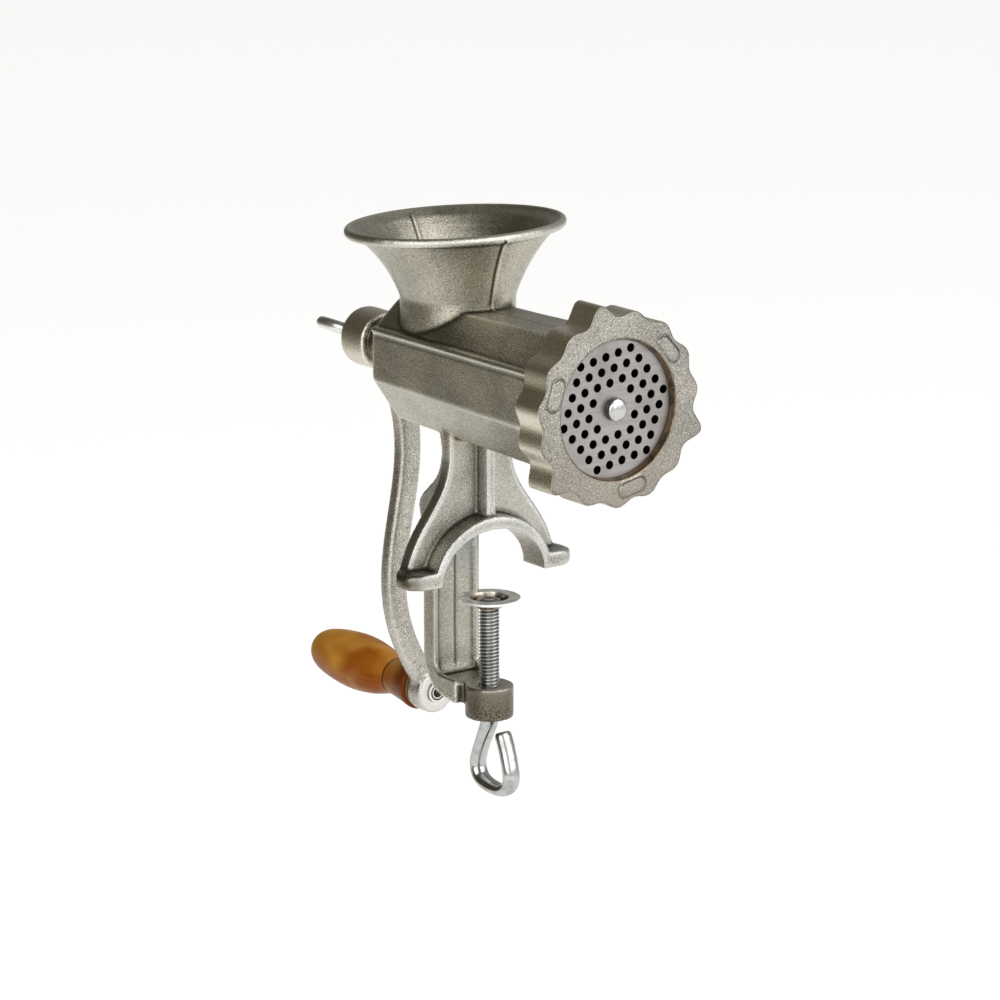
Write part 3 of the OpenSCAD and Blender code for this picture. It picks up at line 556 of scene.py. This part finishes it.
def toes(spots):
    """One at the ends of the two feet."""
    x, y, z = np.abs(spots[:, 0]), spots[:, 1], spots[:, 2]
    return np.clip((x - TOE_X) / TOE_SOFT, 0, 1) * (z < TOE_Z[1]) * (z > TOE_Z[0]) * (y < TOE_Y)


casting = recast("casting", ("barrel", "hopper", "clamp_stand", "clamp_arm"), voxel=0.6 * MM, passes=6)
soften(casting, passes=14, where=toes)
parting_lines(casting)
ring_casting = recast("ring_casting", ("ring_nut",), voxel=0.38 * MM, passes=4)
crank_casting = recast("crank_casting", ("crank_arm",), voxel=0.5 * MM, passes=30)
for mesh in (casting, ring_casting, crank_casting):
    mark_hollows(mesh)
new_piece("casting", casting, CASTING, "frame", "casting", "barrel", "hopper", "clamp_stand", "clamp_arm")
new_piece("ring_casting", ring_casting, RING, "ring", "casting", "ring_nut")
new_piece("crank_casting", crank_casting, CRANK, "crank", "casting", "crank_arm")


def tube(rings, capped=True):
    """Quads over rings of points, with flat ends."""
    around = len(rings[0])
    points = [p for ring in rings for p in ring]
    faces = []
    for start in range(0, (len(rings) - 1) * around, around):
        for j in range(around):
            beside = (j + 1) % around
            faces.append((start + j, start + beside, start + around + beside, start + around + j))
    if capped:
        last = (len(rings) - 1) * around
        faces += [tuple(range(around - 1, -1, -1)), tuple(range(last, last + around))]
    return points, faces


def curve(spots, steps):
    """Smooth line through given points."""
    spots = [np.array(p, float) for p in spots]
    line = []
    for i in range(len(spots) - 1):
        a, b = spots[max(i - 1, 0)], spots[i]
        c, d = spots[i + 1], spots[min(i + 2, len(spots) - 1)]
        for t in np.arange(steps) / steps:
            line.append(0.5 * (2 * b + (c - a) * t + (2 * a - 5 * b + 4 * c - d) * t ** 2
                               + (3 * b - a - 3 * c + d) * t ** 3))
    return line + [spots[-1]]


THREAD_DEPTH = 0.55 * SCREW_PITCH
CREST_STEEPNESS = 1.25
END_CREST = 0.3


def thread(low, high, turn_points=32, pitch_rings=8):
    """Threaded rod along +Z with rounded crests and chamfered ends, in millimetres."""
    rings = []
    for z in np.arange(low, high, SCREW_PITCH / pitch_rings):
        fade = min(1.0, (z - low) / SCREW_PITCH, (high - z) / SCREW_PITCH)
        height = END_CREST + (1 - END_CREST) * fade
        ring = []
        for j in range(turn_points):
            part = (z - low) / SCREW_PITCH - j / turn_points
            crest = abs(2 * (part - math.floor(part)) - 1)
            r = SCREW_R - THREAD_DEPTH * (1 - min(1.0, crest * CREST_STEEPNESS) * height)
            angle = 2 * math.pi * j / turn_points
            ring.append((r * math.cos(angle), r * math.sin(angle), z))
        rings.append(ring)
    return tube(rings)


ROD_D = SCREW_R * 2 * 0.94
PATH_STEPS = 10
FLATTEN_STEPS = 25
TIP_STEPS, TIP_TAPER = 3, 0.22
LOOP_LIFT = 0.1


def finger_loop(length, width, thick, around=28):
    """Rod bent to a flattened loop in the YZ plane under z = 0, in millimetres."""
    back, ahead = LOOP_REACH - LOOP_SHIFT, -LOOP_REACH - LOOP_SHIFT
    low = -length + thick / 2 + LOOP_LIFT
    wide = low + LOOP_RISE
    path = curve([(0, 2), (0.3, -3), (back * 0.35, -8), (back * 0.85, wide + 5), (back, wide),
                  (back * 0.72, low + 2.2), (0, low + 0.2), (ahead * 0.55, low), (ahead * 0.9, low + 2.4),
                  (ahead, wide), (ahead * 0.86, wide + 8), (ahead * 0.6, -4.5)], PATH_STEPS)
    last = len(path) - 1
    rings = []
    for i, spot in enumerate(path):
        way = path[min(i + 1, last)] - path[max(i - 1, 0)]
        way = way / np.linalg.norm(way)
        out = np.array((-way[1], way[0]))
        flat = min(1.0, i / FLATTEN_STEPS)
        w, t = ROD_D + (width - ROD_D) * flat, ROD_D + (thick - ROD_D) * flat
        tip = 1 - TIP_TAPER * max(0.0, (i - last + TIP_STEPS) / TIP_STEPS) ** 2
        ring = []
        for j in range(around):
            angle = 2 * math.pi * j / around
            u, v = tip * t / 2 * math.cos(angle), tip * w / 2 * math.sin(angle)
            ring.append((v, spot[0] + out[0] * u, spot[1] + out[1] * u))
        rings.append(ring)
    return tube(rings)


def lathe(profile, around):
    """Turned form about Z from (radius, height) points, closed on itself."""
    rings = [[(r * math.cos(2 * math.pi * j / around), r * math.sin(2 * math.pi * j / around), z)
              for j in range(around)] for r, z in profile]
    return tube(rings + [rings[0]], capped=False)


def joined(name, *shapes, placed=lambda p: p):
    """One mesh of several point and face lists, placed and brought to metres."""
    points, faces = [], []
    for spots, sides in shapes:
        start = len(points)
        points += [tuple(MM * c for c in placed(p)) for p in spots]
        faces += [[start + i for i in side] for side in sides]
    return mesh_of(name, points, faces)


def lifted(shape, height):
    return [(x, y, z + height) for x, y, z in shape[0]], shape[1]


# Peened end of the clamp screw in the pad's recess, in millimetres
neck_r, head_r, core_r = RECESS_R * 0.4, RECESS_R * 0.62, 0.05
head_z = PAD_TOP - PAD_RECESS + RUNNING
neck_z = head_z - 2.2
head = lathe([(core_r, neck_z), (neck_r, neck_z), (neck_r, head_z), (head_r, head_z), (head_r, head_z + 0.5),
              (head_r * 0.86, head_z + 0.95), (head_r * 0.6, head_z + 1.08), (core_r, head_z + 1.1)], around=48)
clamp_loop = lifted(finger_loop(length=30.9, width=7.4, thick=5.2), BOSS_BOTTOM)
clamp_rod = joined("clamp_rod", thread(BOSS_BOTTOM - 1, PAD_BOTTOM - RUNNING), clamp_loop, head)
new_piece("clamp_rod", clamp_rod, THREAD, "screw", "zinc", "clamp_screw")


def behind_hub(p):
    """Turns a form along -Z to lie along +Y behind the hub, with the crank screw's loop at its angle."""
    x, y, z = p[0], -p[2], p[1]
    return (x * math.cos(LOOP_TURN) + z * math.sin(LOOP_TURN), y + HUB_BACK_Y + RUNNING,
            -x * math.sin(LOOP_TURN) + z * math.cos(LOOP_TURN) + AXIS_Z)


crank_loop = finger_loop(length=26.6, width=4.6, thick=4.4)
crank_rod = joined("crank_rod", thread(0, CRANK_SCREW_LEN), crank_loop, placed=behind_hub)
new_piece("crank_rod", crank_rod, ZINC, "crank_screw", "zinc", "crank_screw")

# The other nodes show their own solids
for name, material in (("grinding_plate", PLATE), ("knife", STEEL), ("auger", CRANK), ("auger_stud", STUD),
                       ("plate_key_pin", STEEL), ("thrust_washer", FIBRE), ("grip", WOOD), ("grip_rivet", RIVET),
                       ("grip_washer", FIBRE), ("clamp_pad", PAD)):
    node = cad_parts[name]
    node.data.materials.clear()
    node.data.materials.append(material)


# Stage, light and camera
PAPER_SIDE = (0.809, -0.588)
PAPER_EDGE = (-0.9, -0.55)
PAPER_WHITE, PAPER_PALE = (0.73, 0.727, 0.72), (0.75, 0.747, 0.74)
FLOOR_GREY = (0.44, 0.425, 0.38)
FLOOR_GLOW, PAPER_GLOW = (1.0, 0.95, 0.78), (1, 1, 1)
GLOW_STRENGTH = (0.17, 0.72)
FLOOR_SIZE, FLOOR_DROP = 6.0, 0.16


def white_floor():
    """White paper under and to the right of the object, and a grey studio floor left of its edge.

    The camera, metal and glass all see the paper at the same strength."""
    s = Shader("floor_white")
    x, y, z = s.axes()
    aside = s.math("ADD", s.times(x, PAPER_SIDE[0]), s.times(y, PAPER_SIDE[1]))
    paper = s.spread(aside, *PAPER_EDGE)
    white = s.mix(s.noise(30), PAPER_WHITE, PAPER_PALE)
    ray = s.node("ShaderNodeLightPath")
    seen = s.math("MAXIMUM", ray.outputs["Is Camera Ray"], ray.outputs["Is Transmission Ray"])
    seen = s.math("MAXIMUM", seen, ray.outputs["Is Glossy Ray"])
    s.finish(Base_Color=s.mix(paper, FLOOR_GREY, white), Roughness=0.9, Specular_IOR_Level=0.0,
             Emission_Color=s.mix(paper, FLOOR_GLOW, PAPER_GLOW),
             Emission_Strength=s.times(seen, s.spread(paper, 0.0, 1.0, *GLOW_STRENGTH)))
    size, height = FLOOR_SIZE, cad_box[0][2] - FLOOR_DROP
    corners = [(-size, -size, height), (size, -size, height), (size, size, height), (-size, size, height)]
    mesh = mesh_of("floor", corners, [(0, 1, 2, 3)])
    mesh.materials.append(s.material)
    floor = bpy.data.objects.new("floor", mesh)
    bpy.context.scene.collection.objects.link(floor)


ROOM_DIM, ROOM_BRIGHT = (0.10, 0.09, 0.065), (0.97, 0.99, 1.0)
RIGHT_SHARE = 0.35


def studio_world():
    """A pale room, the same for every ray, that is bright ahead of the object and dim behind and above it."""
    world = bpy.data.worlds.new("studio")
    bpy.context.scene.world = world
    world.use_nodes = True
    s = Graph(world.node_tree, "Generated")
    x, y, z = s.axes()
    ahead = s.times(s.spread(y, 0.1, -0.6), s.spread(z, 0.7, 0.2, 0.25, 1.0))
    right = s.times(s.spread(x, -0.2, 0.9), RIGHT_SHARE)
    back = next(n for n in s.nodes if n.type == "BACKGROUND")
    s.feed(back.inputs["Color"], s.mix(s.math("MAXIMUM", ahead, right), ROOM_DIM, ROOM_BRIGHT))
    s.feed(back.inputs["Strength"], 1.0)


def lamp(name, spot, aim, size, power):
    """A square area lamp, in metres and watts."""
    data = bpy.data.lights.new(name, "AREA")
    data.size = size
    data.energy = power
    made = bpy.data.objects.new(name, data)
    made.location = spot
    made.rotation_euler = (Vector(aim) - Vector(spot)).to_track_quat("-Z", "Y").to_euler()
    bpy.context.scene.collection.objects.link(made)


white_floor()
studio_world()
LAMP_AIM = (0, 0, 0.05)
lamp("key", (0.6, -1.25, 0.75), LAMP_AIM, size=1.5, power=13.0)
lamp("left", (-1.05, -1.0, 0.6), LAMP_AIM, size=1.35, power=10.0)

TARGET = Vector((0, -7.07, 31.95)) * MM
AZIMUTH, ELEVATION, DISTANCE = math.radians(-36.03), math.radians(14.07), 1.725
LENS, SENSOR_W, CLIP_START = 162.0, 36.0, 0.05
level = math.cos(ELEVATION)
away = Vector((math.sin(AZIMUTH) * level, -math.cos(AZIMUTH) * level, math.sin(ELEVATION)))
camera = bpy.data.objects.new("camera", bpy.data.cameras.new("camera"))
camera.data.lens = LENS
camera.data.sensor_width = SENSOR_W
camera.data.clip_start = CLIP_START
camera.location = TARGET + away * DISTANCE
camera.rotation_euler = (-away).to_track_quat("-Z", "Y").to_euler()
bpy.context.scene.collection.objects.link(camera)
bpy.context.scene.camera = camera
bpy.context.scene.view_settings.view_transform = "Standard"
